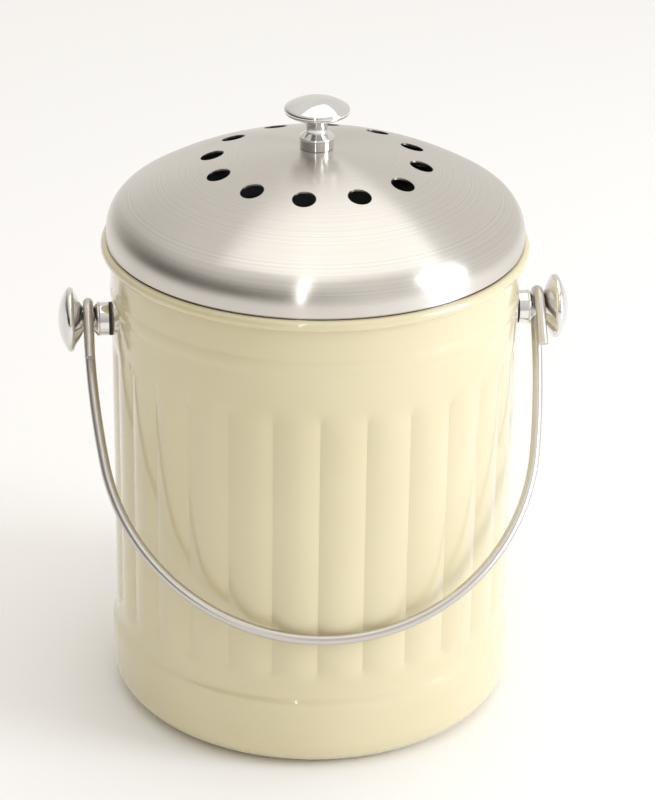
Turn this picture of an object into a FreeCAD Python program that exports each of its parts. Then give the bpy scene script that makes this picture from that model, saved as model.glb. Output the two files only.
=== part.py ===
import FreeCAD, Part
import math
import os
import Sketcher

# Countertop compost pail: a drawn and ribbed steel pail with a rolled rim, a swinging wire bail
# on two turned knobs, and a lift-off domed lid with vent holes over a charcoal filter pad.
# Frame: origin at the middle of the base, +Z up, bail pivots along X, front towards -Y.

HALF = 0.5
RIGHT_ANGLE = 90
FULL_TURN = 4 * RIGHT_ANGLE

doc = FreeCAD.newDocument("compost_pail")
sheet = doc.addObject("Spreadsheet::Sheet", "sizes")

# Driving dimensions in millimetres, with angles in degrees.
DRIVING = {
    # Pail shell
    "wall": 0.8,
    "pail_radius": 90.0,
    "bead_height": 215.6,
    "bead_radius": 2.4,
    "band_step": 2.0,
    "band_height": 30.0,
    "step_height": 10.0,
    "base_corner_radius": 13.5,
    "foot_width": 12.5,
    "base_rise": 1.5,
    "rib_count": 28,
    "rib_turn": -87.4,
    "rib_depth": 1.3,
    "rib_start": 4.0,
    "rib_top_drop": 4.1,
    "rib_ramp_bottom": 6.0,
    "rib_ramp_top": 10.0,
    "swage_gap": 3.0,
    "swage_width": 7.0,
    "swage_depth": 0.6,
    # Turned knobs
    "pivot_drop": 34.5,
    "collar_radius": 7.4,
    "collar_height": 4.2,
    "lip_width": 1.2,
    "lip_height": 0.35,
    "collar_cone_height": 1.6,
    "neck_radius": 4.6,
    "neck_length": 4.4,
    "head_radius": 13.5,
    "head_taper": 0.5,
    "head_cone_height": 4.0,
    "head_edge_height": 3.2,
    "head_bulge": 1.05,
    "head_dome_height": 4.0,
    # Fixings
    "gasket_thickness": 0.8,
    "washer_radius": 5.0,
    "washer_thickness": 0.8,
    "screw_radius": 2.0,
    "screw_length": 9.0,
    "screw_head_radius": 3.8,
    "screw_head_height": 2.4,
    "recess_length": 4.2,
    "recess_width": 1.0,
    "recess_depth": 1.3,
    "bore_slack": 0.05,
    "hole_slack": 0.25,
    # Bail
    "wire_radius": 2.25,
    "eye_gap": 0.35,
    "eye_tail": 20.0,
    "bail_rest_height": 67.5,
    "bail_crown_inset": 3.9,
    # Lid
    "lid_skirt_step": 1.5,
    "lid_skirt_gap": 1.0,
    "lid_skirt_height": 3.5,
    "lid_shoulder_radius": 16.0,
    "lid_crown_radius": 162.0,
    "lid_seat_radius": 9.0,
    "vent_count": 12,
    "vent_turn": -102.1,
    "vent_radius": 5.1,
    "vent_circle_radius": 45.6,
    # Locating ring, filter and clips under the lid
    "ring_weld_height": 3.0,
    "ring_mouth_gap": 0.8,
    "ring_depth": 8.7,
    "filter_thickness": 8.0,
    "filter_gap": 0.1,
    "filter_round": 1.5,
    "clip_count": 4,
    "clip_turn": 45.0,
    "clip_width": 10.0,
    "clip_reach": 8.0,
    "clip_height": 6.0,
    "clip_lift": 1.9,
    # Clearances
    "running_gap": 0.3,
    "seat_gap": 0.05,
    "overrun": 5.0,
}


class Size:
    """A length or angle that carries its number together with the sheet formula that gives it."""

    def __init__(self, value, formula):
        self.value = value
        self.formula = formula

    def __add__(self, other):
        other = as_size(other)
        return Size(self.value + other.value, f"({self.formula} + {other.formula})")

    def __sub__(self, other):
        other = as_size(other)
        return Size(self.value - other.value, f"({self.formula} - {other.formula})")

    def __mul__(self, other):
        other = as_size(other)
        return Size(self.value * other.value, f"({self.formula} * {other.formula})")

    def __truediv__(self, other):
        other = as_size(other)
        return Size(self.value / other.value, f"({self.formula} / {other.formula})")

    def __radd__(self, other):
        return as_size(other) + self

    def __rsub__(self, other):
        return as_size(other) - self

    def __rmul__(self, other):
        return as_size(other) * self

    def __rtruediv__(self, other):
        return as_size(other) / self

    def __neg__(self):
        return as_size(-1) * self


def as_size(number):
    return number if isinstance(number, Size) else Size(number, str(number))


def root(square):
    return Size(math.sqrt(square.value), f"sqrt({square.formula})")


def leg(hypotenuse, other_leg):
    """The other short side of a right triangle."""
    return root(hypotenuse * hypotenuse - other_leg * other_leg)


def sine(angle):
    return Size(math.sin(math.radians(angle.value)), f"sin({angle.formula})")


def cosine(angle):
    return Size(math.cos(math.radians(angle.value)), f"cos({angle.formula})")


def arc_sine(ratio):
    return Size(math.degrees(math.asin(ratio.value)), f"asin({ratio.formula})")


def arc_tangent(ratio):
    return Size(math.degrees(math.atan(ratio.value)), f"atan({ratio.formula})")


for row, (alias, number) in enumerate(DRIVING.items(), start=1):
    sheet.set(f"A{row}", alias)
    sheet.set(f"B{row}", str(number))
    sheet.setAlias(f"B{row}", alias)
doc.recompute()

size = {alias: Size(number, f"sizes.{alias}") for alias, number in DRIVING.items()}
bodies = {}


# Sketch and feature helpers

def bind(thing, prop, wanted):
    thing.setExpression(prop, as_size(wanted).formula)


def new_body(name):
    body = doc.addObject("PartDesign::Body", name)
    body.Label = name
    bodies[name] = body
    return body


def origin_feature(body, role):
    return next(feature for feature in body.Origin.OriginFeatures if feature.Role == role)


def new_sketch(body, name, plane, offset=0):
    """A sketch on one of the body's origin planes, lifted along the plane's normal."""
    sketch = body.newObject("Sketcher::SketchObject", name)
    sketch.AttachmentSupport = [(origin_feature(body, plane), "")]
    sketch.MapMode = "FlatFace"
    bind(sketch, "AttachmentOffset.Base.z", offset)
    return sketch


def hold(sketch, constraint, wanted):
    """Adds one sized constraint and binds it to the sheet."""
    index = sketch.addConstraint(constraint)
    sketch.setExpression(f"Constraints[{index}]", as_size(wanted).formula)


def pin(sketch, edge, end, along, up):
    """Fixes one point of an edge at sized distances from the sketch's origin."""
    hold(sketch, Sketcher.Constraint("DistanceX", -1, 1, edge, end, as_size(along).value), along)
    hold(sketch, Sketcher.Constraint("DistanceY", -1, 1, edge, end, as_size(up).value), up)


def vector(along, up):
    return FreeCAD.Vector(as_size(along).value, as_size(up).value, 0)


def arc_between(start, end, radius):
    """The short anticlockwise arc from one point to another."""
    chord = end - start
    middle = (start + end) * 0.5
    rise = math.sqrt(radius ** 2 - (chord.Length / 2) ** 2)
    outward = FreeCAD.Vector(chord.y, -chord.x, 0).normalize()
    return Part.Arc(start, middle + outward * (radius - rise), end)


def draw(sketch, corners, closed=True):
    """Draws a chain of lines and arcs. Each corner is (along, up) or (along, up, radius, side),
    where the radius belongs to the arc that leads to that corner and side is where its centre lies."""
    first = sketch.GeometryCount
    points = [vector(corner[0], corner[1]) for corner in corners]
    count = len(corners) if closed else len(corners) - 1
    starts = []
    for index in range(count):
        start = points[index]
        target = corners[(index + 1) % len(corners)]
        end = points[(index + 1) % len(corners)]
        if len(target) == 4:
            forward = target[3] == "left"
            ends = (start, end) if forward else (end, start)
            edge = sketch.addGeometry(arc_between(*ends, target[2].value))
            starts.append(1 if forward else 2)
            hold(sketch, Sketcher.Constraint("Radius", edge, target[2].value), target[2])
        else:
            sketch.addGeometry(Part.LineSegment(start, end))
            starts.append(1)
    for index in range(count):
        edge = first + index
        pin(sketch, edge, starts[index], corners[index][0], corners[index][1])
        following = (index + 1) % count
        if closed or index + 1 < count:
            sketch.addConstraint(Sketcher.Constraint(
                "Coincident", edge, 3 - starts[index], first + following, starts[following]))
    if not closed:
        pin(sketch, first + count - 1, 3 - starts[-1], corners[-1][0], corners[-1][1])


def draw_circle(sketch, along, up, radius):
    radius = as_size(radius)
    edge = sketch.addGeometry(Part.Circle(vector(along, up), FreeCAD.Vector(0, 0, 1), radius.value))
    hold(sketch, Sketcher.Constraint("Radius", edge, radius.value), radius)
    pin(sketch, edge, 3, along, up)


def turn(body, name, sketch):
    """Turns a sketch right round the body's vertical axis."""
    feature = body.newObject("PartDesign::Revolution", name)
    feature.Profile = sketch
    feature.ReferenceAxis = (sketch, ["V_Axis"])
    feature.Angle = FULL_TURN


def revolve(body, name, corners):
    """Turns an outline of (radius, height) corners about the body's vertical axis."""
    sketch = new_sketch(body, f"{name}_outline", "XZ_Plane")
    draw(sketch, corners)
    turn(body, name, sketch)


def pad(body, name, sketch, length, reverse=False):
    feature = body.newObject("PartDesign::Pad", name)
    feature.Profile = sketch
    bind(feature, "Length", length)
    feature.Reversed = reverse
    return feature


def pocket(body, name, sketch, length, midplane=False, reverse=False):
    feature = body.newObject("PartDesign::Pocket", name)
    feature.Profile = sketch
    feature.Midplane = midplane
    feature.Reversed = reverse
    bind(feature, "Length", length)
    return feature


def polar(body, name, features, count):
    feature = body.newObject("PartDesign::PolarPattern", name)
    feature.Originals = features
    feature.Axis = (origin_feature(body, "Z_Axis"), [""])
    feature.Angle = FULL_TURN
    bind(feature, "Occurrences", count)
    body.Tip = feature
    return feature


def place(body, base, axis, angle):
    """Puts a finished body at its place in the pail, turned about one axis."""
    body.Placement = FreeCAD.Placement(
        FreeCAD.Vector(*[as_size(part).value for part in base]),
        FreeCAD.Rotation(FreeCAD.Vector(*axis), as_size(angle).value))
    for letter, part in zip("xyz", base):
        bind(body, f"Placement.Base.{letter}", part)
    bind(body, "Placement.Rotation.Angle", angle)


# Shared derived sizes

wall = size["wall"]
overrun = size["overrun"]
pail_radius = size["pail_radius"]
pail_inner = pail_radius - wall
bead_centre_radius = pail_radius + size["bead_radius"] - wall
rib_bottom = size["band_height"] + size["step_height"] + size["rib_start"]
pivot_height = size["bead_height"] - size["pivot_drop"]
rib_top = pivot_height - size["rib_top_drop"]
screw_hole_radius = size["screw_radius"] + size["hole_slack"]
gasket_inner = pail_radius + size["seat_gap"]
knob_seat = gasket_inner + size["gasket_thickness"]
washer_face = leg(pail_inner, size["washer_radius"]) - size["seat_gap"]
screw_face = washer_face - size["washer_thickness"]
lip_end = size["collar_height"] + size["lip_width"]
neck_start = lip_end + size["collar_cone_height"]
neck_end = neck_start + size["neck_length"]


def bulge_radius(half_chord, rise):
    """The radius of an arc that rises by so much over its chord."""
    return (half_chord * half_chord + rise * rise) / (2 * rise)


# Pail: base and lower band, ribs, then the upper wall with its swage and rolled rim

def make_pail():
    body = new_body("pail_body")
    band = pail_radius + size["band_step"]
    corner = size["base_corner_radius"]
    foot_outer = band - corner
    foot_inner = foot_outer - size["foot_width"]
    rise = size["base_rise"]
    mitre = wall * (math.sqrt(2) - 1)
    half_step = size["step_height"] * HALF
    half_inset = size["band_step"] * HALF
    step_radius = bulge_radius(half_step, half_inset)
    step_middle = size["band_height"] + half_step
    step_end = step_middle + half_step
    lean = arc_tangent(half_inset / half_step) * 2
    inner_middle = (band - half_inset - wall * cosine(lean), step_middle - wall * sine(lean))
    revolve(body, "base_and_band", [
        (0, rise),
        (foot_inner - rise, rise),
        (foot_inner, 0),
        (foot_outer, 0),
        (band, corner, corner, "left"),
        (band, size["band_height"]),
        (band - half_inset, step_middle, step_radius, "left"),
        (pail_radius, step_end, step_radius, "right"),
        (pail_radius, rib_bottom),
        (pail_inner, rib_bottom),
        (pail_inner, step_end),
        (*inner_middle, step_radius + wall, "left"),
        (band - wall, size["band_height"], step_radius - wall, "right"),
        (band - wall, corner),
        (foot_outer, wall, corner - wall, "right"),
        (foot_inner + mitre, wall),
        (foot_inner - rise + mitre, rise + wall),
        (0, rise + wall),
    ])
    make_ribs(body)
    make_rim(body)
    sketch = new_sketch(body, "pivot_hole_outline", "YZ_Plane")
    draw_circle(sketch, 0, pivot_height, screw_hole_radius)
    pocket(body, "pivot_holes", sketch, 2 * (pail_radius + overrun), midplane=True)


def rib_section(body, name, level, depth):
    """One rib's slice of the wall: a convex arc outside and its parallel inside."""
    half_pitch = FULL_TURN * HALF / size["rib_count"]
    sketch = new_sketch(body, name, "XY_Plane", level)
    corners = []
    for crest, side in ((pail_radius, "left"), (pail_inner, "right")):
        half_chord = (crest - depth) * sine(half_pitch)
        foot = (crest - depth) * cosine(half_pitch)
        sign = 1 if side == "left" else -1
        corners.append((foot, half_chord * -sign))
        corners.append((foot, half_chord * sign, bulge_radius(half_chord, crest - foot), side))
    draw(sketch, corners)
    bind(sketch, "AttachmentOffset.Rotation.Angle", size["rib_turn"])
    return sketch


def make_ribs(body):
    depth = size["rib_depth"]
    sections = [
        rib_section(body, "rib_foot", rib_bottom, as_size(0)),
        rib_section(body, "rib_lower", rib_bottom + size["rib_ramp_bottom"], depth),
        rib_section(body, "rib_upper", rib_top - size["rib_ramp_top"], depth),
        rib_section(body, "rib_head", rib_top, as_size(0)),
    ]
    rib = body.newObject("PartDesign::AdditiveLoft", "rib")
    rib.Profile = sections[0]
    rib.Sections = sections[1:]
    rib.Ruled = True
    polar(body, "ribs", [rib], size["rib_count"])


def make_rim(body):
    half_swage = size["swage_width"] * HALF
    swage_low = pivot_height + size["collar_radius"] + size["swage_gap"]
    swage_high = swage_low + size["swage_width"]
    swage_radius = bulge_radius(half_swage, size["swage_depth"])
    level = size["bead_height"]
    revolve(body, "upper_wall", [
        (pail_inner, rib_top),
        (pail_radius, rib_top),
        (pail_radius, swage_low),
        (pail_radius, swage_high, swage_radius, "left"),
        (pail_radius, level),
        (pail_inner, level),
        (pail_inner, swage_high),
        (pail_inner, swage_low, swage_radius, "right"),
    ])
    # The rim is rolled outwards into a closed bead.
    sketch = new_sketch(body, "bead_outline", "XZ_Plane")
    draw_circle(sketch, bead_centre_radius, level, size["bead_radius"])
    turn(body, "rolled_bead", sketch)


# Turned knob: collar with a lip, waist for the bail eye, flared head with a domed top

def make_knob(name):
    body = new_body(name)
    collar = size["collar_radius"]
    bore_radius = size["screw_radius"] + size["bore_slack"]
    bore_depth = size["screw_length"] - size["washer_thickness"]
    lip_radius = bulge_radius(size["lip_width"] * HALF, size["lip_height"])
    head = size["head_radius"]
    cone_top = neck_end + size["head_cone_height"]
    edge = size["head_edge_height"]
    edge_top = cone_top + edge
    edge_chord = root(edge * edge + size["head_taper"] * size["head_taper"])
    edge_radius = bulge_radius(edge_chord * HALF, size["head_bulge"])
    revolve(body, "turned_profile", [
        (bore_radius, 0),
        (collar, 0),
        (collar, size["collar_height"]),
        (collar, lip_end, lip_radius, "left"),
        (size["neck_radius"], neck_start),
        (size["neck_radius"], neck_end),
        (head - size["head_taper"], cone_top),
        (head, edge_top, edge_radius, "left"),
        (0, edge_top + size["head_dome_height"], bulge_radius(head, size["head_dome_height"]), "left"),
        (0, bore_depth),
        (bore_radius, bore_depth),
    ])
    return body


def make_washer(name):
    body = new_body(name)
    revolve(body, "washer_ring", [
        (screw_hole_radius, 0),
        (size["washer_radius"], 0),
        (size["washer_radius"], size["washer_thickness"]),
        (screw_hole_radius, size["washer_thickness"]),
    ])
    return body


def make_screw(name):
    """A pan-head screw with a cross recess; its seat is at zero and its shank points up."""
    body = new_body(name)
    head = size["screw_head_height"]
    head_radius = size["screw_head_radius"]
    shank = size["screw_radius"]
    revolve(body, "head_and_shank", [
        (0, -head),
        (head_radius, 0, bulge_radius(head_radius, head), "left"),
        (shank, 0),
        (shank, size["screw_length"]),
        (0, size["screw_length"]),
    ])
    half_length = size["recess_length"] * HALF
    half_width = size["recess_width"] * HALF
    sketch = new_sketch(body, "recess_outline", "XY_Plane", -head)
    draw(sketch, [
        (half_length, -half_width),
        (half_length, half_width),
        (half_width, half_width),
        (half_width, half_length),
        (-half_width, half_length),
        (-half_width, half_width),
        (-half_length, half_width),
        (-half_length, -half_width),
        (-half_width, -half_width),
        (-half_width, -half_length),
        (half_width, -half_length),
        (half_width, -half_width),
    ])
    pocket(body, "cross_recess", sketch, size["recess_depth"], reverse=True)
    return body


def make_gasket(name):
    """A soft ring between the knob and the round wall, saddle-shaped on the wall side."""
    body = new_body(name)
    sketch = new_sketch(body, "gasket_outline", "YZ_Plane")
    draw_circle(sketch, 0, 0, size["collar_radius"])
    draw_circle(sketch, 0, 0, screw_hole_radius)
    pad(body, "gasket_ring", sketch, knob_seat)
    sketch = new_sketch(body, "wall_outline", "XY_Plane")
    draw_circle(sketch, 0, 0, gasket_inner)
    pocket(body, "wall_saddle", sketch, 2 * (size["collar_radius"] + overrun), midplane=True)
    return body


def make_pivot(side, direction):
    """One bail pivot: gasket and knob outside the wall, washer and screw inside it."""
    outward = RIGHT_ANGLE * direction
    gasket = make_gasket(f"{side}_pivot_gasket")
    place(gasket, (0, 0, pivot_height), (0, 0, 1), RIGHT_ANGLE - outward)
    knob = make_knob(f"{side}_pivot_knob")
    place(knob, (knob_seat * direction, 0, pivot_height), (0, 1, 0), outward)
    washer = make_washer(f"{side}_pivot_washer")
    place(washer, (screw_face * direction, 0, pivot_height), (0, 1, 0), outward)
    screw = make_screw(f"{side}_pivot_screw")
    place(screw, (screw_face * direction, 0, pivot_height), (0, 1, 0), outward)


# Bail: one bent wire, a three-centred arch whose ends hook round the waists of the knobs

def make_bail():
    body = new_body("bail_handle")
    wire = size["wire_radius"]
    eye = size["neck_radius"] + wire + size["eye_gap"]
    reach = knob_seat + neck_start + size["neck_length"] * HALF
    # At rest the middle of the arch lies a running gap in front of the ribs.
    forward = pail_radius + wire + size["running_gap"]
    fall = pivot_height - size["bail_rest_height"]
    swing = root(forward * forward + fall * fall)
    length = leg(swing, eye)
    hang = arc_sine(forward / swing) + arc_tangent(eye / length)
    # The crown arc meets each side arc on the line through their centres.
    inset = size["bail_crown_inset"]
    crown = reach - inset
    drop = length - crown
    side_radius = (drop * drop + reach * reach - crown * crown) / (2 * inset)
    crown_share = crown / (side_radius - crown)
    joint_along = (side_radius - reach) * crown_share
    joint_level = -drop * (1 + crown_share)
    path = new_sketch(body, "arch_path", "XZ_Plane", -eye)
    draw(path, [
        (reach, 0),
        (joint_along, joint_level, side_radius, "right"),
        (-joint_along, joint_level, crown, "right"),
        (-reach, 0, side_radius, "right"),
    ], closed=False)
    section = new_sketch(body, "wire_section", "XY_Plane")
    draw_circle(section, reach, eye, wire)
    arch = body.newObject("PartDesign::AdditivePipe", "arch")
    arch.Profile = section
    arch.Spine = (path, [])
    hook = body.newObject("PartDesign::Revolution", "eye_hook")
    hook.Profile = section
    hook.ReferenceAxis = (origin_feature(body, "X_Axis"), [""])
    hook.Angle = 2 * RIGHT_ANGLE
    tail_section = new_sketch(body, "tail_section", "XY_Plane")
    draw_circle(tail_section, reach, -eye, wire)
    tail = pad(body, "eye_tail", tail_section, size["eye_tail"], reverse=True)
    mirror = body.newObject("PartDesign::Mirrored", "other_eye")
    mirror.Originals = [hook, tail]
    mirror.MirrorPlane = (origin_feature(body, "YZ_Plane"), [""])
    body.Tip = mirror
    place(body, (0, 0, pivot_height), (1, 0, 0), -hang)


# Lid: domed shell with vents, locating ring, knob, filter pad and its clips

skirt_radius = pail_radius + size["lid_skirt_step"]
skirt_bottom = size["bead_height"] + size["bead_radius"] + size["lid_skirt_gap"]
round_level = skirt_bottom + size["lid_skirt_height"]
round_along = skirt_radius - size["lid_shoulder_radius"]
round_up = leg(size["lid_crown_radius"] - size["lid_shoulder_radius"], round_along)
crown_centre = round_level - round_up
lid_seat = crown_centre + leg(size["lid_crown_radius"], size["lid_seat_radius"])
flange_outer = skirt_radius - wall - size["seat_gap"]
flange_low = size["bead_height"] + leg(
    size["bead_radius"] + size["running_gap"], bead_centre_radius - flange_outer)
ring_outer = pail_inner - size["ring_mouth_gap"]
ring_inner = ring_outer - wall
ring_low = flange_low - size["ring_depth"]
clip_low = ring_low + size["clip_lift"]
clip_outer = ring_inner - size["seat_gap"]
filter_radius = clip_outer - wall - size["filter_gap"]
filter_low = clip_low + wall + size["filter_gap"]


def make_lid_shell():
    body = new_body("lid_shell")
    crown = size["lid_crown_radius"]
    shoulder = size["lid_shoulder_radius"]
    outer_share = crown / (crown - shoulder)
    inner_share = (crown - wall) / (crown - shoulder)
    inner_seat = lid_seat - wall
    revolve(body, "domed_shell", [
        (screw_hole_radius, inner_seat),
        (leg(crown - wall, inner_seat - crown_centre), inner_seat),
        (round_along * inner_share, crown_centre + round_up * inner_share, crown - wall, "right"),
        (skirt_radius - wall, round_level, shoulder - wall, "right"),
        (skirt_radius - wall, skirt_bottom),
        (skirt_radius, skirt_bottom),
        (skirt_radius, round_level),
        (round_along * outer_share, crown_centre + round_up * outer_share, shoulder, "left"),
        (size["lid_seat_radius"], lid_seat, crown, "left"),
        (screw_hole_radius, lid_seat),
    ])
    sketch = new_sketch(body, "vent_outline", "XY_Plane", lid_seat)
    angle = size["vent_turn"]
    circle = size["vent_circle_radius"]
    draw_circle(sketch, circle * cosine(angle), circle * sine(angle), size["vent_radius"])
    vent = pocket(body, "vent", sketch, lid_seat - round_level)
    polar(body, "vents", [vent], size["vent_count"])


def make_locating_ring():
    body = new_body("lid_locating_ring")
    flange_top = flange_low + wall
    weld_top = flange_top + size["ring_weld_height"]
    revolve(body, "joggled_ring", [
        (ring_inner, ring_low),
        (ring_outer, ring_low),
        (ring_outer, flange_low),
        (flange_outer, flange_low),
        (flange_outer, weld_top),
        (flange_outer - wall, weld_top),
        (flange_outer - wall, flange_top),
        (ring_inner, flange_top),
    ])


def make_lid_knob():
    knob = make_knob("lid_knob")
    place(knob, (0, 0, lid_seat + size["seat_gap"]), (0, 0, 1), 0)
    below = lid_seat - wall - size["seat_gap"] - size["washer_thickness"]
    washer = make_washer("lid_knob_washer")
    place(washer, (0, 0, below), (0, 0, 1), 0)
    screw = make_screw("lid_knob_screw")
    place(screw, (0, 0, below), (0, 0, 1), 0)


def make_filter():
    body = new_body("charcoal_filter")
    edge = size["filter_round"]
    top = filter_low + size["filter_thickness"]
    revolve(body, "felt_pad", [
        (0, filter_low),
        (filter_radius - edge, filter_low),
        (filter_radius, filter_low + edge, edge, "left"),
        (filter_radius, top - edge),
        (filter_radius - edge, top, edge, "left"),
        (0, top),
    ])


def make_clip(number):
    """An L-shaped tab welded inside the locating ring, which carries the filter's edge."""
    body = new_body(f"filter_clip_{number}")
    sketch = new_sketch(body, "clip_outline", "XZ_Plane")
    reach = clip_outer - size["clip_reach"]
    draw(sketch, [
        (reach, clip_low),
        (clip_outer, clip_low),
        (clip_outer, clip_low + size["clip_height"]),
        (clip_outer - wall, clip_low + size["clip_height"]),
        (clip_outer - wall, clip_low + wall),
        (reach, clip_low + wall),
    ])
    tab = pad(body, "bent_tab", sketch, size["clip_width"])
    tab.Midplane = True
    sketch = new_sketch(body, "ring_bore", "XY_Plane", clip_low - overrun)
    draw_circle(sketch, 0, 0, 2 * clip_outer)
    draw_circle(sketch, 0, 0, clip_outer)
    pocket(body, "ring_curve", sketch, size["clip_height"] + 2 * overrun, reverse=True)
    angle = size["clip_turn"] + (number - 1) * FULL_TURN / size["clip_count"]
    place(body, (0, 0, 0), (0, 0, 1), angle)


make_pail()
for side, direction in (("left", -1), ("right", 1)):
    make_pivot(side, direction)
make_bail()
make_lid_shell()
make_locating_ring()
make_lid_knob()
make_filter()
for number in range(1, DRIVING["clip_count"] + 1):
    make_clip(number)
doc.recompute()

# Nothing is written unless every object is sound.
for thing in doc.Objects:
    if "Invalid" in thing.State or "Error" in thing.State:
        raise RuntimeError(f"{thing.Name} did not compute: {thing.State}")
for name, body in bodies.items():
    if body.Shape.isNull() or not body.Shape.isValid():
        raise RuntimeError(f"{name} has no sound shape")

os.makedirs("parts", exist_ok=True)
for name, body in bodies.items():
    body.Shape.exportStep(f"parts/{name}.step")
    print(f"{name}: {len(body.Shape.Solids)} solid, {body.Shape.Volume:.0f} mm3")
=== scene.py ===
import math
import bmesh
import bpy
from mathutils import Matrix, Vector


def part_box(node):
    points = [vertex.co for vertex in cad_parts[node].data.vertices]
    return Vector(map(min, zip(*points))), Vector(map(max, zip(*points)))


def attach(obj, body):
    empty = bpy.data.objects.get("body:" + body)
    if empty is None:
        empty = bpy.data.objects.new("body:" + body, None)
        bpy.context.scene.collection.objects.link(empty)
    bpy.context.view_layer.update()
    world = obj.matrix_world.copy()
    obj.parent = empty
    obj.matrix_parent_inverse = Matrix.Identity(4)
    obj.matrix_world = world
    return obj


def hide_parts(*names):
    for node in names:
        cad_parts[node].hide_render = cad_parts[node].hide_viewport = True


# A countertop compost pail in cream enamel, with a spun stainless lid, plated knobs and a wire bail.
# Everything is in metres in the pail's own frame: origin under the base, +Z up, front towards -Y.

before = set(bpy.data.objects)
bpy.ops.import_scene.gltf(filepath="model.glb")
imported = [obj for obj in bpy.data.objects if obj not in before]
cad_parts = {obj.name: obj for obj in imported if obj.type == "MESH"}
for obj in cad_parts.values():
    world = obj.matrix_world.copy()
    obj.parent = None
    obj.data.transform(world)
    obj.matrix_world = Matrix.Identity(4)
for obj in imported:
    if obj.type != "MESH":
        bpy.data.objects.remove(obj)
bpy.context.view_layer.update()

MM = 0.001
WALL = 0.8 * MM
SHARP_ANGLE = math.radians(20)
MERGE_GAP = 0.008 * MM
ROUND_STEPS = 8
WIRE_RADIUS = 2.25 * MM
BEAD_RADIUS = 2.4 * MM


def middle_of(node):
    low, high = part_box(node)
    return (Vector(low) + Vector(high)) / 2


def size_of(node):
    low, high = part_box(node)
    return Vector(high) - Vector(low)


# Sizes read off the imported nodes

pail_high = Vector(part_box("pail_body")[1])
lid_low, lid_high = (Vector(corner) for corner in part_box("lid_shell"))
PIVOT_LEVEL = middle_of("right_pivot_knob").z
BEAD_LEVEL = pail_high.z - BEAD_RADIUS
PAIL_RADIUS = pail_high.x - 2 * BEAD_RADIUS + WALL
KNOB_HEIGHT = size_of("lid_knob").z
KNOB_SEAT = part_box("right_pivot_knob")[0][0]
LID_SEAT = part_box("lid_knob")[0][2]


# Mesh helpers

def finish_mesh(name, mesh, material):
    """Smooths a mesh but for its crisp edges, and puts it in the scene."""
    mesh.materials.clear()
    mesh.materials.append(material)
    mesh.polygons.foreach_set("use_smooth", [True] * len(mesh.polygons))
    mesh.set_sharp_from_angle(angle=SHARP_ANGLE)
    piece = bpy.data.objects.new(name, mesh)
    bpy.context.scene.collection.objects.link(piece)
    return piece


def arc(centre, radius, start, end, steps=ROUND_STEPS):
    """Points on a circle in the (radius, height) plane, from one angle in degrees to another."""
    points = []
    for step in range(steps + 1):
        angle = math.radians(start + (end - start) * step / steps)
        points.append((centre[0] + radius * math.cos(angle), centre[1] + radius * math.sin(angle)))
    return points


def bulge(start, end, rise, steps=ROUND_STEPS):
    """Points on the arc that stands out by rise to the right of the line from start to end."""
    start = Vector(start)
    end = Vector(end)
    chord = end - start
    right = Vector((chord.y, -chord.x)).normalized()
    half = chord.length / 2
    radius = (half * half + rise * rise) / (2 * rise)
    centre = (start + end) / 2 + right * (rise - radius)
    sweep = 2 * math.asin(half / radius)
    spoke = start - centre
    points = []
    for step in range(steps + 1):
        turned = Matrix.Rotation(sweep * step / steps, 2) @ spoke
        points.append(tuple(centre + turned))
    return points


def run(start, end, steps):
    """Evenly spaced points on a straight line."""
    start = Vector(start)
    end = Vector(end)
    return [tuple(start.lerp(end, step / steps)) for step in range(steps + 1)]


def join_outline(*stretches):
    """Joins stretches of an outline and drops the points where they meet twice."""
    outline = []
    for stretch in stretches:
        for point in stretch:
            if not outline or (Vector(point) - Vector(outline[-1])).length > MERGE_GAP:
                outline.append(point)
    return outline


def lathe(name, outline, segments, closed=False):
    """Turns (radius, height) points about Z; points on the axis become poles."""
    shape = bmesh.new()
    rings = []
    for radius, height in outline:
        if radius < MERGE_GAP:
            rings.append([shape.verts.new((0, 0, height))])
            continue
        ring = []
        for index in range(segments):
            angle = 2 * math.pi * index / segments
            ring.append(shape.verts.new((radius * math.cos(angle), radius * math.sin(angle), height)))
        rings.append(ring)
    pairs = list(zip(rings, rings[1:]))
    if closed:
        pairs.append((rings[-1], rings[0]))
    for lower, upper in pairs:
        for index in range(segments):
            following = (index + 1) % segments
            corners = [lower[index % len(lower)], lower[following % len(lower)],
                       upper[following % len(upper)], upper[index % len(upper)]]
            corners = list(dict.fromkeys(corners))
            if len(corners) > 2:
                shape.faces.new(corners)
    bmesh.ops.recalc_face_normals(shape, faces=shape.faces)
    mesh = bpy.data.meshes.new(name)
    shape.to_mesh(mesh)
    shape.free()
    return mesh


# Node helpers for materials and geometry trees

def add_node(tree, kind, settings=None, **inputs):
    """Adds a node, sets its properties, and fills its inputs with values or links."""
    node = tree.nodes.new(kind)
    for name, value in (settings or {}).items():
        setattr(node, name, value)
    for name, value in inputs.items():
        key = int(name[1:]) if name[0] == "_" else name.replace("_", " ")
        if isinstance(value, bpy.types.NodeSocket):
            tree.links.new(value, node.inputs[key])
        else:
            node.inputs[key].default_value = value
    return node


def math_node(tree, operation, *terms):
    inputs = {f"_{index}": term for index, term in enumerate(terms)}
    return add_node(tree, "ShaderNodeMath", {"operation": operation}, **inputs).outputs[0]


def linear(hex_colour, alpha=1.0):
    """Turns a hex colour into the linear colour that shaders use, by the curve of the sRGB standard."""
    channels = [int(hex_colour[index:index + 2], 16) / 255 for index in (1, 3, 5)]
    return tuple(c / 12.92 if c <= 0.04045 else ((c + 0.055) / 1.055) ** 2.4 for c in channels) + (alpha,)


def new_material(name):
    material = bpy.data.materials.new(name)
    material.use_nodes = True
    tree = material.node_tree
    return material, tree, tree.nodes["Principled BSDF"]


def set_shader(shader, **values):
    for name, value in values.items():
        shader.inputs[name.replace("_", " ")].default_value = value


# Most of a noise lies between these two values.
NOISE_LOW = 0.3
NOISE_HIGH = 0.7


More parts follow.
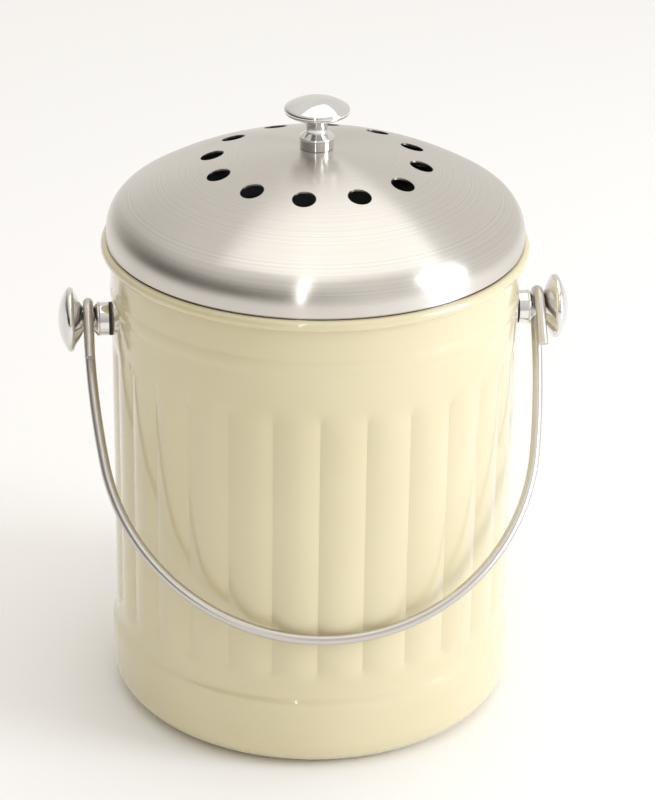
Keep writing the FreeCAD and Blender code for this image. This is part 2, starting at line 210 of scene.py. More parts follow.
def spread(tree, noise, low, high):
    """Maps a noise onto a range of values."""
    return add_node(tree, "ShaderNodeMapRange", None, Value=noise, From_Min=NOISE_LOW, From_Max=NOISE_HIGH,
                    To_Min=low, To_Max=high).outputs["Result"]


def blend_colours(tree, share, first, second):
    """Blends two hex colours by a share."""
    # A mix node's colour sockets go by number, because its sockets for other kinds have the same names.
    blend = add_node(tree, "ShaderNodeMix", {"data_type": "RGBA"}, Factor=share, _6=linear(first),
                     _7=linear(second))
    return blend.outputs[2]


def tint(tree, noise, first, second):
    """Blends two hex colours by a noise."""
    return blend_colours(tree, spread(tree, noise, 0.0, 1.0), first, second)


# Materials

def make_enamel():
    """Cream enamel fired on steel: a glossy, slightly wavy skin with a faint mottle."""
    material, tree, shader = new_material("cream_enamel")
    place = add_node(tree, "ShaderNodeTexCoord").outputs["Object"]
    set_shader(shader, IOR=1.5, Coat_Weight=1.0, Coat_Roughness=0.05)
    mottle = add_node(tree, "ShaderNodeTexNoise", None, Vector=place, Scale=1 / (60 * MM), Detail=3.0)
    tree.links.new(tint(tree, mottle.outputs[0], "#d9cea6", "#dfd4ae"), shader.inputs["Base Color"])
    haze = add_node(tree, "ShaderNodeTexNoise", None, Vector=place, Scale=1 / (25 * MM), Detail=4.0)
    tree.links.new(spread(tree, haze.outputs[0], 0.17, 0.25), shader.inputs["Roughness"])
    # Orange peel of about 4 mm, the waviness that sprayed enamel keeps after firing.
    peel = add_node(tree, "ShaderNodeTexNoise", None, Vector=place, Scale=1 / (4 * MM), Detail=1.0)
    bump = add_node(tree, "ShaderNodeBump", None, Strength=0.06, Distance=0.1 * MM, Height=peel.outputs[0])
    tree.links.new(bump.outputs[0], shader.inputs["Normal"])
    return material


def make_spun_stainless():
    """Stainless steel brushed while it spins: fine rings that draw highlights out into radial streaks."""
    material, tree, shader = new_material("spun_stainless")
    place = add_node(tree, "ShaderNodeTexCoord").outputs["Object"]
    set_shader(shader, Metallic=1.0, Anisotropic=0.9, Anisotropic_Rotation=0.25)
    axes = add_node(tree, "ShaderNodeSeparateXYZ", None, Vector=place)
    flat = add_node(tree, "ShaderNodeCombineXYZ", None, X=axes.outputs[0], Y=axes.outputs[1])
    radius = add_node(tree, "ShaderNodeVectorMath", {"operation": "LENGTH"}, _0=flat.outputs[0])
    reach = math_node(tree, "ADD", radius.outputs["Value"], axes.outputs[2])
    # Brush marks are about 0.1 mm; they are drawn at 0.4 mm so that they show.
    marks = add_node(tree, "ShaderNodeTexNoise", {"noise_dimensions": "1D"}, W=reach, Scale=1 / (0.4 * MM),
                     Detail=1.0)
    cloud = add_node(tree, "ShaderNodeTexNoise", None, Vector=place, Scale=1 / (45 * MM), Detail=4.0)
    tree.links.new(tint(tree, marks.outputs[0], "#d5d0c9", "#dcd8d2"), shader.inputs["Base Color"])
    tree.links.new(spread(tree, cloud.outputs[0], 0.23, 0.27), shader.inputs["Roughness"])
    bump = add_node(tree, "ShaderNodeBump", None, Strength=0.01, Distance=0.05 * MM,
                    Height=marks.outputs[0])
    tree.links.new(bump.outputs[0], shader.inputs["Normal"])
    tangent = add_node(tree, "ShaderNodeTangent", {"direction_type": "RADIAL", "axis": "Z"})
    tree.links.new(tangent.outputs[0], shader.inputs["Tangent"])
    return material


def make_chrome():
    """Polished chrome plate: a mirror with a trace of handling haze."""
    material, tree, shader = new_material("chrome_plate")
    place = add_node(tree, "ShaderNodeTexCoord").outputs["Object"]
    set_shader(shader, Metallic=1.0)
    haze = add_node(tree, "ShaderNodeTexNoise", None, Vector=place, Scale=1 / (9 * MM), Detail=4.0)
    tree.links.new(tint(tree, haze.outputs[0], "#dfdedc", "#e9e8e6"), shader.inputs["Base Color"])
    tree.links.new(spread(tree, haze.outputs[0], 0.05, 0.1), shader.inputs["Roughness"])
    return material


def make_wire():
    """Drawn stainless wire: satin, with die lines along its length."""
    material, tree, shader = new_material("drawn_wire")
    set_shader(shader, Metallic=1.0)
    around = add_node(tree, "ShaderNodeAttribute", {"attribute_name": "around"}).outputs["Fac"]
    along = add_node(tree, "ShaderNodeAttribute", {"attribute_name": "along"}).outputs["Fac"]
    # Die lines of about 0.8 mm round the wire, which run on for several centimetres.
    turn = math_node(tree, "MULTIPLY", around, 2 * math.pi)
    spots = WIRE_RADIUS / (0.8 * MM)
    across = math_node(tree, "MULTIPLY", math_node(tree, "COSINE", turn), spots)
    up = math_node(tree, "MULTIPLY", math_node(tree, "SINE", turn), spots)
    length = math_node(tree, "MULTIPLY", along, 1 / (80 * MM))
    lines = add_node(tree, "ShaderNodeCombineXYZ", None, X=across, Y=up, Z=length)
    marks = add_node(tree, "ShaderNodeTexNoise", None, Vector=lines.outputs[0], Scale=1.0, Detail=2.0)
    tree.links.new(tint(tree, marks.outputs[0], "#c8c3be", "#d4d0cb"), shader.inputs["Base Color"])
    tree.links.new(spread(tree, marks.outputs[0], 0.28, 0.38), shader.inputs["Roughness"])
    bump = add_node(tree, "ShaderNodeBump", None, Strength=0.05, Distance=0.05 * MM,
                    Height=marks.outputs[0])
    tree.links.new(bump.outputs[0], shader.inputs["Normal"])
    return material


def make_zinc():
    """Bright zinc plate on small fixings: pale, bluish and a little cloudy."""
    material, tree, shader = new_material("bright_zinc")
    place = add_node(tree, "ShaderNodeTexCoord").outputs["Object"]
    set_shader(shader, Metallic=1.0)
    cloud = add_node(tree, "ShaderNodeTexNoise", None, Vector=place, Scale=1 / (3 * MM), Detail=3.0)
    tree.links.new(tint(tree, cloud.outputs[0], "#b3b8bd", "#c8cbcd"), shader.inputs["Base Color"])
    tree.links.new(spread(tree, cloud.outputs[0], 0.28, 0.38), shader.inputs["Roughness"])
    return material


def make_rubber():
    """Black nitrile rubber: matt, with a fine moulded grain."""
    material, tree, shader = new_material("black_rubber")
    place = add_node(tree, "ShaderNodeTexCoord").outputs["Object"]
    set_shader(shader, IOR=1.52)
    grain = add_node(tree, "ShaderNodeTexNoise", None, Vector=place, Scale=1 / (0.4 * MM), Detail=2.0)
    tree.links.new(tint(tree, grain.outputs[0], "#141414", "#1d1c1b"), shader.inputs["Base Color"])
    tree.links.new(spread(tree, grain.outputs[0], 0.5, 0.65), shader.inputs["Roughness"])
    return material


def make_felt():
    """Needled charcoal felt: black fibres with a dry sheen and a dimpled face."""
    material, tree, shader = new_material("charcoal_felt")
    place = add_node(tree, "ShaderNodeTexCoord").outputs["Object"]
    set_shader(shader, Roughness=0.95, Sheen_Weight=0.35, Sheen_Roughness=0.6)
    # Fibres are far finer than 1 mm; they are drawn at 0.8 mm so that they show.
    fibres = add_node(tree, "ShaderNodeTexNoise", None, Vector=place, Scale=1 / (0.8 * MM), Detail=5.0,
                      Distortion=1.5)
    tree.links.new(tint(tree, fibres.outputs[0], "#1b1b1d", "#39393c"), shader.inputs["Base Color"])
    bump = add_node(tree, "ShaderNodeBump", None, Strength=0.7, Distance=0.5 * MM, Height=fibres.outputs[0])
    tree.links.new(bump.outputs[0], shader.inputs["Normal"])
    return material


enamel = make_enamel()
stainless = make_spun_stainless()
chrome = make_chrome()
wire_steel = make_wire()
zinc = make_zinc()
rubber = make_rubber()
felt = make_felt()


# Geometry trees

def new_tree(name, inputs):
    """A geometry tree with named inputs of the given socket kinds."""
    tree = bpy.data.node_groups.new(name, "GeometryNodeTree")
    tree.interface.new_socket("Geometry", in_out="INPUT", socket_type="NodeSocketGeometry")
    for label, kind in inputs.items():
        tree.interface.new_socket(label, in_out="INPUT", socket_type=f"NodeSocket{kind}")
    tree.interface.new_socket("Geometry", in_out="OUTPUT", socket_type="NodeSocketGeometry")
    return tree, tree.nodes.new("NodeGroupInput")


def close_tree(tree, geometry, material):
    """Ends a tree in real geometry with its material set."""
    real = add_node(tree, "GeometryNodeRealizeInstances", None, Geometry=geometry)
    dressed = add_node(tree, "GeometryNodeSetMaterial", None, Geometry=real.outputs[0], Material=material)
    result = tree.nodes.new("NodeGroupOutput")
    tree.links.new(dressed.outputs[0], result.inputs[0])


def bake(name, data, tree, values):
    """Runs a tree on a mesh or curve and returns the result as a plain mesh."""
    carrier = bpy.data.objects.new(name, data)
    bpy.context.scene.collection.objects.link(carrier)
    modifier = carrier.modifiers.new(tree.name, "NODES")
    modifier.node_group = tree
    for item in tree.interface.items_tree:
        if item.in_out == "INPUT" and item.name in values:
            modifier[item.identifier] = values[item.name]
    graph = bpy.context.evaluated_depsgraph_get()
    mesh = bpy.data.meshes.new_from_object(carrier.evaluated_get(graph))
    bpy.data.objects.remove(carrier)
    mesh.name = name
    return mesh


def rib_tree():
    """Presses convex ribs into a turned wall between two levels."""
    tree, given = new_tree("press_ribs", {
        "Rib Count": "Float", "Turn": "Float", "Depth": "Float", "Bottom": "Float", "Top": "Float",
        "Bottom Ramp": "Float", "Top Ramp": "Float", "Material": "Material"})
    place = add_node(tree, "GeometryNodeInputPosition").outputs[0]
    axes = add_node(tree, "ShaderNodeSeparateXYZ", None, Vector=place).outputs
    angle = math_node(tree, "ARCTAN2", axes[1], axes[0])
    turned = math_node(tree, "SUBTRACT", angle, given.outputs["Turn"])
    pitches = math_node(tree, "MULTIPLY", turned, math_node(tree, "DIVIDE", given.outputs["Rib Count"],
                                                            2 * math.pi))
    # A rib is 0 deep at its crest and 1 at its valleys, round at the crest and sharp at the valleys.
    from_crest = math_node(tree, "PINGPONG", pitches, 0.5)
    hollow = math_node(tree, "POWER", math_node(tree, "MULTIPLY", from_crest, 2.0), 2.0)
    ramps = []
    low_end = math_node(tree, "ADD", given.outputs["Bottom"], given.outputs["Bottom Ramp"])
    high_start = math_node(tree, "SUBTRACT", given.outputs["Top"], given.outputs["Top Ramp"])
    for start, end in ((given.outputs["Bottom"], low_end), (given.outputs["Top"], high_start)):
        ramps.append(add_node(tree, "ShaderNodeMapRange", {"interpolation_type": "SMOOTHSTEP"},
                              Value=axes[2], From_Min=start, From_Max=end).outputs[0])
    pressed = math_node(tree, "MULTIPLY", ramps[0], ramps[1])
    inward = math_node(tree, "MULTIPLY", math_node(tree, "MULTIPLY", hollow, pressed),
                       math_node(tree, "MULTIPLY", given.outputs["Depth"], -1.0))
    flat = add_node(tree, "ShaderNodeCombineXYZ", None, X=axes[0], Y=axes[1]).outputs[0]
    outward = add_node(tree, "ShaderNodeVectorMath", {"operation": "NORMALIZE"}, _0=flat).outputs[0]
    shift = add_node(tree, "ShaderNodeVectorMath", {"operation": "SCALE"}, _0=outward, Scale=inward)
    ribbed = add_node(tree, "GeometryNodeSetPosition", None, Geometry=given.outputs["Geometry"],
                      Offset=shift.outputs[0])
    close_tree(tree, ribbed.outputs[0], given.outputs["Material"])
    return tree


def vent_tree():
    """Punches a ring of round holes down through a shell."""
    tree, given = new_tree("punch_vents", {
        "Count": "Int", "Turn": "Float", "Circle Radius": "Float", "Hole Radius": "Float",
        "Level": "Float", "Depth": "Float", "Material": "Material"})
    ring = add_node(tree, "GeometryNodeMeshCircle", None, Vertices=given.outputs["Count"],
                    Radius=given.outputs["Circle Radius"])
    place = add_node(tree, "ShaderNodeCombineXYZ", None, Z=given.outputs["Level"])
    turn = add_node(tree, "ShaderNodeCombineXYZ", None, Z=given.outputs["Turn"])
    placed = add_node(tree, "GeometryNodeTransform", None, Geometry=ring.outputs[0],
                      Translation=place.outputs[0], Rotation=turn.outputs[0])
    punch = add_node(tree, "GeometryNodeMeshCylinder", None, Vertices=48,
                     Radius=given.outputs["Hole Radius"], Depth=given.outputs["Depth"])
    punches = add_node(tree, "GeometryNodeInstanceOnPoints", None, Points=placed.outputs[0],
                       Instance=punch.outputs[0])
    tools = add_node(tree, "GeometryNodeRealizeInstances", None, Geometry=punches.outputs[0])
    cut = add_node(tree, "GeometryNodeMeshBoolean", {"operation": "DIFFERENCE"},
                   _0=given.outputs["Geometry"], _1=tools.outputs[0])
    close_tree(tree, cut.outputs[0], given.outputs["Material"])
    return tree


def wire_tree():
    """Draws a round wire along a curve, and keeps how far along and around each point lies."""
    tree, given = new_tree("draw_wire", {"Radius": "Float", "Material": "Material"})
    along = add_node(tree, "GeometryNodeSplineParameter").outputs["Length"]
    path = add_node(tree, "GeometryNodeStoreNamedAttribute", {"data_type": "FLOAT", "domain": "POINT"},
                    Geometry=given.outputs["Geometry"], Name="along", Value=along)
    circle = add_node(tree, "GeometryNodeCurvePrimitiveCircle", None, Resolution=24,
                      Radius=given.outputs["Radius"])
    around = add_node(tree, "GeometryNodeSplineParameter").outputs["Factor"]
    profile = add_node(tree, "GeometryNodeStoreNamedAttribute", {"data_type": "FLOAT", "domain": "POINT"},
                       Geometry=circle.outputs[0], Name="around", Value=around)
    tube = add_node(tree, "GeometryNodeCurveToMesh", None, Curve=path.outputs[0],
                    Profile_Curve=profile.outputs[0], Fill_Caps=True)
    close_tree(tree, tube.outputs[0], given.outputs["Material"])
    return tree


# Pail: a turned shell with pressed ribs, a swage under the rim and a rolled bead

RIB_COUNT = 28
RIB_TURN = math.radians(-87.4)
RIB_DEPTH = 1.3 * MM
RIB_BOTTOM = 44 * MM
RIB_BOTTOM_RAMP = 6 * MM
RIB_TOP_DROP = 4.1 * MM
RIB_TOP = PIVOT_LEVEL - RIB_TOP_DROP
RIB_TOP_RAMP = 10 * MM
STEPS_PER_RIB = 16
BAND_STEP = 2 * MM
BAND_RADIUS = PAIL_RADIUS + BAND_STEP
BAND_LEVEL = 30 * MM
STEP_HEIGHT = 10 * MM
STEP_BULGE_SHARE = 0.1
BASE_ROUND = 13.5 * MM
BASE_RISE = 1.5 * MM
FOOT_OUTER = BAND_RADIUS - BASE_ROUND
FOOT_WIDTH = 12.5 * MM
FOOT_INNER = FOOT_OUTER - FOOT_WIDTH
SWAGE_RAISE = 10.4 * MM
SWAGE_HEIGHT = 7 * MM
SWAGE_DEPTH = 0.4 * MM
SWAGE_MARGIN = 1 * MM
SWAGE_LOW = PIVOT_LEVEL + SWAGE_RAISE
SWAGE_HIGH = SWAGE_LOW + SWAGE_HEIGHT


def pail_skin(inset, wall_top):
    """One side of the pail's wall, from the middle of the base up, moved in by inset."""
    radius = PAIL_RADIUS - inset
    band = BAND_RADIUS - inset
    half_step = STEP_HEIGHT / 2
    step_middle = (BAND_RADIUS + PAIL_RADIUS) / 2 - inset
    step_rise = BAND_STEP * STEP_BULGE_SHARE
    base = [(0, BASE_RISE + inset), (FOOT_INNER - BASE_RISE, BASE_RISE + inset), (FOOT_INNER, inset)]
    corner = arc((FOOT_OUTER, BASE_ROUND), BASE_ROUND - inset, -90, 0, steps=12)
    shoulder = bulge((band, BAND_LEVEL), (step_middle, BAND_LEVEL + half_step), step_rise)
    foot = bulge((step_middle, BAND_LEVEL + half_step), (radius, BAND_LEVEL + STEP_HEIGHT), -step_rise)
    ramp_end = RIB_BOTTOM + RIB_BOTTOM_RAMP
    ramp_start = RIB_TOP - RIB_TOP_RAMP
    return join_outline(
        base,
        corner,
        [(band, BAND_LEVEL)],
        shoulder,
        foot,
        run((radius, RIB_BOTTOM), (radius, ramp_end), steps=10),
        run((radius, ramp_end), (radius, ramp_start), steps=12),
        run((radius, ramp_start), (radius, RIB_TOP), steps=12),
        [(radius, SWAGE_LOW - SWAGE_MARGIN)],
        bulge((radius, SWAGE_LOW), (radius, SWAGE_HIGH), SWAGE_DEPTH, steps=10),
        [(radius, SWAGE_HIGH + SWAGE_MARGIN), (radius, wall_top)],
    )


def make_pail():
    bead_centre = (PAIL_RADIUS + BEAD_RADIUS - WALL, BEAD_LEVEL)
    outer = pail_skin(0, BEAD_LEVEL - 2 * BEAD_RADIUS)
    inner = pail_skin(WALL, BEAD_LEVEL - BEAD_RADIUS)
    # The bead starts where it leaves the outer wall and rolls over to the inner wall.
    touch = math.degrees(math.acos((BEAD_RADIUS - WALL) / BEAD_RADIUS))
    bead = arc(bead_centre, BEAD_RADIUS, touch - 180, 180, steps=28)
    outline = join_outline(outer, bead, inner[::-1])
    shell = lathe("pail_shell", outline, RIB_COUNT * STEPS_PER_RIB)
    # The shell's first edge is turned onto a crest, so that the valleys fall on its edges too.
    shell.transform(Matrix.Rotation(RIB_TURN, 4, "Z"))
    ribbed = bake("pail_enamel", shell, rib_tree(), {
        "Rib Count": float(RIB_COUNT), "Turn": RIB_TURN, "Depth": RIB_DEPTH, "Bottom": RIB_BOTTOM,
        "Top": RIB_TOP, "Bottom Ramp": RIB_BOTTOM_RAMP, "Top Ramp": RIB_TOP_RAMP, "Material": enamel})
    piece = finish_mesh("pail_enamel", ribbed, enamel)
    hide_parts("pail_body")
    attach(piece, "pail")


# Knobs: collar with a lip, waist, flared head with a domed top

COLLAR_RADIUS = 7.4 * MM
LIP_START = 4.2 * MM
LIP_END = 5.4 * MM
LIP_HEIGHT = 0.35 * MM
NECK_RADIUS = 4.6 * MM
NECK_START = 7 * MM
NECK_END = 11.4 * MM
NECK_ROUND = 0.8 * MM
HEAD_RADIUS = 13.5 * MM
HEAD_TAPER = 0.5 * MM
EDGE_HEIGHT = 3.2 * MM
EDGE_BULGE = 1.05 * MM
DOME_HEIGHT = 4 * MM
FOOT_EDGE = 0.3 * MM
KNOB_SEGMENTS = 96


def knob_outline():
    """One side of a knob from its foot up, with the foot at height 0."""
    collar = [(0, 0), (COLLAR_RADIUS - FOOT_EDGE, 0), (COLLAR_RADIUS, FOOT_EDGE)]
    lip = bulge((COLLAR_RADIUS, LIP_START), (COLLAR_RADIUS, LIP_END), LIP_HEIGHT)
    # The rounds at the waist's ends stop at the angles where they meet the cones of collar and head.
    waist_low = arc((NECK_RADIUS + NECK_ROUND, NECK_START + NECK_ROUND), NECK_ROUND, 240, 180)
    waist_high = arc((NECK_RADIUS + NECK_ROUND, NECK_END - NECK_ROUND), NECK_ROUND, 180, 115)
    edge_top = KNOB_HEIGHT - DOME_HEIGHT
    edge = bulge((HEAD_RADIUS - HEAD_TAPER, edge_top - EDGE_HEIGHT), (HEAD_RADIUS, edge_top), EDGE_BULGE,
                 steps=14)
    dome_radius = (HEAD_RADIUS ** 2 + DOME_HEIGHT ** 2) / (2 * DOME_HEIGHT)
    dome_start = math.degrees(math.acos(HEAD_RADIUS / dome_radius))
    dome = arc((0, KNOB_HEIGHT - dome_radius), dome_radius, dome_start, 90, steps=16)
    return join_outline(collar, lip, waist_low, waist_high, edge, dome)


def make_knob(name, node, body, placing):
    mesh = lathe(name, knob_outline(), KNOB_SEGMENTS)
    mesh.transform(placing)
    piece = finish_mesh(name, mesh, chrome)
    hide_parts(node)
    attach(piece, body)


def make_knobs():
    make_knob("lid_knob_chrome", "lid_knob", "lid", Matrix.Translation((0, 0, LID_SEAT)))
    for side, direction in (("left", -1), ("right", 1)):
        placing = Matrix.Translation((direction * KNOB_SEAT, 0, PIVOT_LEVEL))
        placing = placing @ Matrix.Rotation(direction * math.pi / 2, 4, "Y")
        make_knob(f"{side}_knob_chrome", f"{side}_pivot_knob", "pail", placing)


# Bail: one wire, a three-centred arch with a hook round each knob's waist

HOOK_PLAY = 0.35 * MM
EYE_RADIUS = NECK_RADIUS + WIRE_RADIUS + HOOK_PLAY
EYE_TAIL = 20 * MM
TAIL_SHARES = (0, 0.03, 0.1, 0.5, 1)
CUT_END_SHARE = 0.75
CROWN_INSET = 3.9 * MM
REACH = KNOB_SEAT + (NECK_START + NECK_END) / 2
REST_GAP = 0.3 * MM
REST_LEVEL = 67.5 * MM
FORWARD = PAIL_RADIUS + WIRE_RADIUS + REST_GAP
FALL = PIVOT_LEVEL - REST_LEVEL
POINT_GAP = 0.1 * MM


def bail_points():
    """The wire's middle line with the bail hanging straight down, from tail to tail."""
    length = math.sqrt(FORWARD ** 2 + FALL ** 2 - EYE_RADIUS ** 2)
    crown = REACH - CROWN_INSET
    drop = length - crown
    side = (drop ** 2 + REACH ** 2 - crown ** 2) / (2 * CROWN_INSET)
    lean = math.degrees(math.atan2(drop, side - REACH))
    half = []
    for share in TAIL_SHARES:
        half.append((REACH, -EYE_RADIUS, -EYE_TAIL * (1 - share)))
    for across, up in arc((0, 0), EYE_RADIUS, 180, 0, steps=24):
        half.append((REACH, across, up))
    for along, up in arc((REACH - side, 0), side, 0, -lean, steps=24):
        half.append((along, EYE_RADIUS, up))
    for along, up in arc((0, -drop), crown, -lean, -90, steps=48):
        half.append((along, EYE_RADIUS, up))
    points = [Vector(point) for point in half]
    points += [Vector((-point.x, point.y, point.z)) for point in reversed(points[:-1])]
    kept = points[:1]
    for point in points[1:]:
        if (point - kept[-1]).length > POINT_GAP:
            kept.append(point)
    return kept, length


def make_bail():
    points, length = bail_points()
    swing = math.hypot(FORWARD, FALL)
    hang = math.asin(FORWARD / swing) + math.atan2(EYE_RADIUS, length)
    placing = Matrix.Translation((0, 0, PIVOT_LEVEL)) @ Matrix.Rotation(-hang, 4, "X")
    path = bpy.data.curves.new("bail_path", "CURVE")
    path.dimensions = "3D"
    spline = path.splines.new("POLY")
    spline.points.add(len(points) - 1)
    for place, point in zip(spline.points, points):
        place.co = (*(placing @ point), 1)
        place.radius = 1
    # The cut ends are broken with a small chamfer.
    spline.points[0].radius = CUT_END_SHARE
    spline.points[-1].radius = CUT_END_SHARE
    wire = bake("bail_wire", path, wire_tree(), {"Radius": WIRE_RADIUS, "Material": wire_steel})
    piece = finish_mesh("bail_wire", wire, wire_steel)
    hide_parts("bail_handle")
    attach(piece, "bail")


# Lid: spun dome with punched vents and a felt pad below

SKIRT_RADIUS = lid_high.x
SKIRT_BOTTOM = lid_low.z
SHOULDER_RADIUS = 16 * MM
CROWN_RADIUS = 162 * MM
SEAT_RADIUS = 9 * MM
SCREW_HOLE = 2.25 * MM
VENT_COUNT = 12
VENT_TURN = math.radians(-102.1)
VENT_CIRCLE = 45.6 * MM
VENT_RADIUS = 5.1 * MM
PUNCH_DEPTH = 40 * MM
FACING_LIMIT = 0.9
LID_SEGMENTS = 240
CROWN_CENTRE = lid_high.z - math.sqrt(CROWN_RADIUS ** 2 - SEAT_RADIUS ** 2)


def lid_skin(inset):
    """One side of the lid's shell, from the skirt's edge up to the seat, moved in by inset."""
    along = SKIRT_RADIUS - SHOULDER_RADIUS
    up = math.sqrt((CROWN_RADIUS - SHOULDER_RADIUS) ** 2 - along ** 2)
    slope = math.degrees(math.atan2(up, along))
    crown = CROWN_RADIUS - inset
    seat_slope = math.degrees(math.asin((lid_high.z - inset - CROWN_CENTRE) / crown))
    return join_outline(
        run((SKIRT_RADIUS - inset, SKIRT_BOTTOM), (SKIRT_RADIUS - inset, CROWN_CENTRE + up), steps=4),
        arc((along, CROWN_CENTRE + up), SHOULDER_RADIUS - inset, 0, slope, steps=18),
        arc((0, CROWN_CENTRE), crown, slope, seat_slope, steps=50),
        [(SCREW_HOLE, lid_high.z - inset)],
    )


def round_crown(mesh):
    """Gives the crown round a punched hole the normals of the sphere it was before the punch."""
    centre = Vector((0, 0, CROWN_CENTRE))
    normals = [Vector(corner.vector) for corner in mesh.corner_normals]
    inner = VENT_CIRCLE - 2 * VENT_RADIUS
    outer = VENT_CIRCLE + 2 * VENT_RADIUS
    for face in mesh.polygons:
        for loop in face.loop_indices:
            spoke = mesh.vertices[mesh.loops[loop].vertex_index].co - centre
            facing = face.normal.dot(spoke.normalized())
            if inner < math.hypot(spoke.x, spoke.y) < outer and abs(facing) > FACING_LIMIT:
                normals[loop] = spoke.normalized() * math.copysign(1, facing)
    mesh.normals_split_custom_set(normals)


def make_lid():
    outline = lid_skin(0) + lid_skin(WALL)[::-1]
    shell = lathe("lid_dome", outline, LID_SEGMENTS, closed=True)
    punched = bake("lid_steel", shell, vent_tree(), {
        "Count": VENT_COUNT, "Turn": VENT_TURN, "Circle Radius": VENT_CIRCLE, "Hole Radius": VENT_RADIUS,
        "Level": lid_high.z, "Depth": PUNCH_DEPTH, "Material": stainless})
    piece = finish_mesh("lid_steel", punched, stainless)
    round_crown(punched)
    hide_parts("lid_shell")
    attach(piece, "lid")


PAD_EDGE = 1.5 * MM
PAD_SWELL = 0.3 * MM
PAD_ROWS = 40
PAD_SEGMENTS = 180
# One radian of the dimples' waves is this long, so that a dimple is about 13 mm wide.
DIMPLE_RADIAN = 4 * MM


def make_filter():
    """A needled felt disc with a soft rolled edge and faces that swell a little between their dimples."""
    low, high = (Vector(corner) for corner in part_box("charcoal_filter"))
    flat = high.x - PAD_EDGE
    under = [(flat * row / PAD_ROWS, low.z + PAD_SWELL) for row in range(PAD_ROWS)]
    over = [(along, high.z - PAD_SWELL) for along, _ in reversed(under)]
    lower_rim = arc((flat, low.z + PAD_EDGE + PAD_SWELL), PAD_EDGE, -90, 0)
    upper_rim = arc((flat, high.z - PAD_EDGE - PAD_SWELL), PAD_EDGE, 0, 90)
    outline = join_outline(under, lower_rim, upper_rim, over)
    mesh = lathe("charcoal_pad", outline, PAD_SEGMENTS)
    for vertex in mesh.vertices:
        away = vertex.co.z - (low.z + high.z) / 2
        dimple = math.sin(vertex.co.x / DIMPLE_RADIAN) * math.sin(vertex.co.y / DIMPLE_RADIAN)
        vertex.co.z += math.copysign(PAD_SWELL * dimple, away)
    piece = finish_mesh("charcoal_pad", mesh, felt)
    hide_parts("charcoal_filter")
    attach(piece, "lid")


def dress_nodes():
    """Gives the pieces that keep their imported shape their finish."""
    finishes = {"gasket": rubber, "washer": zinc, "screw": zinc, "ring": stainless, "clip": stainless}
    for name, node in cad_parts.items():
        for word, material in finishes.items():
            if word in name:
                node.data.materials.clear()
                node.data.materials.append(material)


make_pail()
make_knobs()
make_bail()
make_lid()
make_filter()
dress_nodes()


# Stage, light and camera

FLOOR_REACH = 4.0
ROOM_STRENGTH = 0.85
DIM_DIRECTION = (-0.95, -0.31, 0)
AIM_LEVEL = 0.14
SENSOR_SIZE = 36
PHOTO_HEIGHT = 800
# The camera that was fitted to the photograph: its lens in pixels, place, heading and roll.
LENS_PIXELS = 2848.7
CAMERA_PLACE = Vector((-118.2, -1150.0, 693.9)) * MM
CAMERA_AHEAD = Vector((0.09706, 0.89602, -0.43328))
CAMERA_ROLL = math.radians(0.86)


def make_floor():
    mesh = bpy.data.meshes.new("floor")
    corners = []
    for across, along in ((-1, -1), (1, -1), (1, 1), (-1, 1)):
        corners.append((across * FLOOR_REACH, along * FLOOR_REACH, 0))
    mesh.from_pydata(corners, [], [(0, 1, 2, 3)])
    material, _, shader = new_material("white_paper")
    set_shader(shader, Base_Color=linear("#fdfcfb"), Roughness=0.9)
    mesh.materials.append(material)
    floor = bpy.data.objects.new("floor", mesh)
    bpy.context.scene.collection.objects.link(floor)


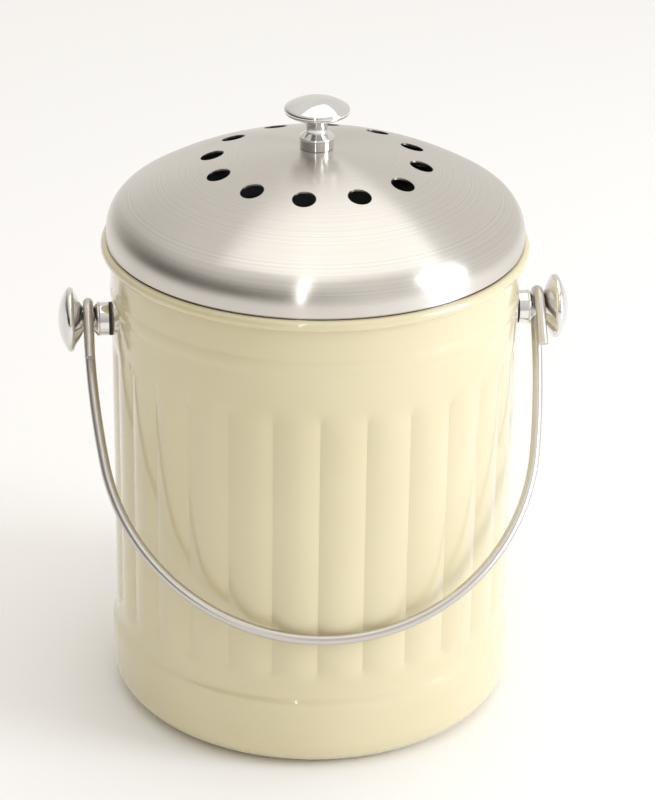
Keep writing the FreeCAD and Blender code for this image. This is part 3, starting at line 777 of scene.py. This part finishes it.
def make_world():
    """A bright room above and behind, with a dim brown side in front and to the left."""
    world = bpy.data.worlds.new("studio")
    bpy.context.scene.world = world
    world.use_nodes = True
    tree = world.node_tree
    direction = add_node(tree, "ShaderNodeTexCoord").outputs["Generated"]
    dim_side = add_node(tree, "ShaderNodeVectorMath", {"operation": "DOT_PRODUCT"}, _0=direction,
                        _1=DIM_DIRECTION).outputs["Value"]
    height = add_node(tree, "ShaderNodeSeparateXYZ", None, Vector=direction).outputs[2]
    # The dim side fades out towards the ceiling.
    low = add_node(tree, "ShaderNodeMapRange", {"interpolation_type": "SMOOTHSTEP"}, Value=height,
                   From_Min=0.9, From_Max=0.15).outputs[0]
    near = add_node(tree, "ShaderNodeMapRange", {"interpolation_type": "SMOOTHSTEP"}, Value=dim_side,
                    From_Min=-0.2, From_Max=1.0).outputs[0]
    room = blend_colours(tree, math_node(tree, "MULTIPLY", low, near), "#fcf9f4", "#40372d")
    backdrop = tree.nodes["Background"]
    backdrop.inputs["Strength"].default_value = ROOM_STRENGTH
    tree.links.new(room, backdrop.inputs["Color"])


def add_light(name, place, size, power, colour="#ffffff"):
    """Adds a rectangular lamp that is aimed at the middle of the pail."""
    lamp = bpy.data.lights.new(name, "AREA")
    lamp.shape = "RECTANGLE"
    lamp.size, lamp.size_y = size
    lamp.energy = power
    lamp.color = linear(colour)[:3]
    light = bpy.data.objects.new(name, lamp)
    light.location = place
    ahead = Vector((0, 0, AIM_LEVEL)) - Vector(place)
    light.rotation_euler = ahead.to_track_quat("-Z", "Y").to_euler()
    bpy.context.scene.collection.objects.link(light)


def make_lights():
    add_light("window", place=(1.37, -0.6, 0.62), size=(0.6, 1.1), power=14, colour="#eef3ff")
    add_light("ceiling", place=(0.3, 0.2, 2.2), size=(2.0, 2.0), power=9)
    add_light("bright_slit", place=(-0.45, -1.95, 1.5), size=(0.05, 3.2), power=5)


def make_camera():
    """The photograph's view: a long lens above the front and a little to the left."""
    camera = bpy.data.cameras.new("camera")
    camera.sensor_width = SENSOR_SIZE
    camera.sensor_fit = "AUTO"
    camera.lens = LENS_PIXELS / PHOTO_HEIGHT * SENSOR_SIZE
    view = bpy.data.objects.new("camera", camera)
    heading = CAMERA_AHEAD.to_track_quat("-Z", "Y").to_matrix().to_4x4()
    roll = Matrix.Rotation(CAMERA_ROLL, 4, "Z")
    view.matrix_world = Matrix.Translation(CAMERA_PLACE) @ heading @ roll
    bpy.context.scene.collection.objects.link(view)
    bpy.context.scene.camera = view


make_floor()
make_world()
make_lights()
make_camera()
bpy.context.scene.view_settings.view_transform = "Standard"
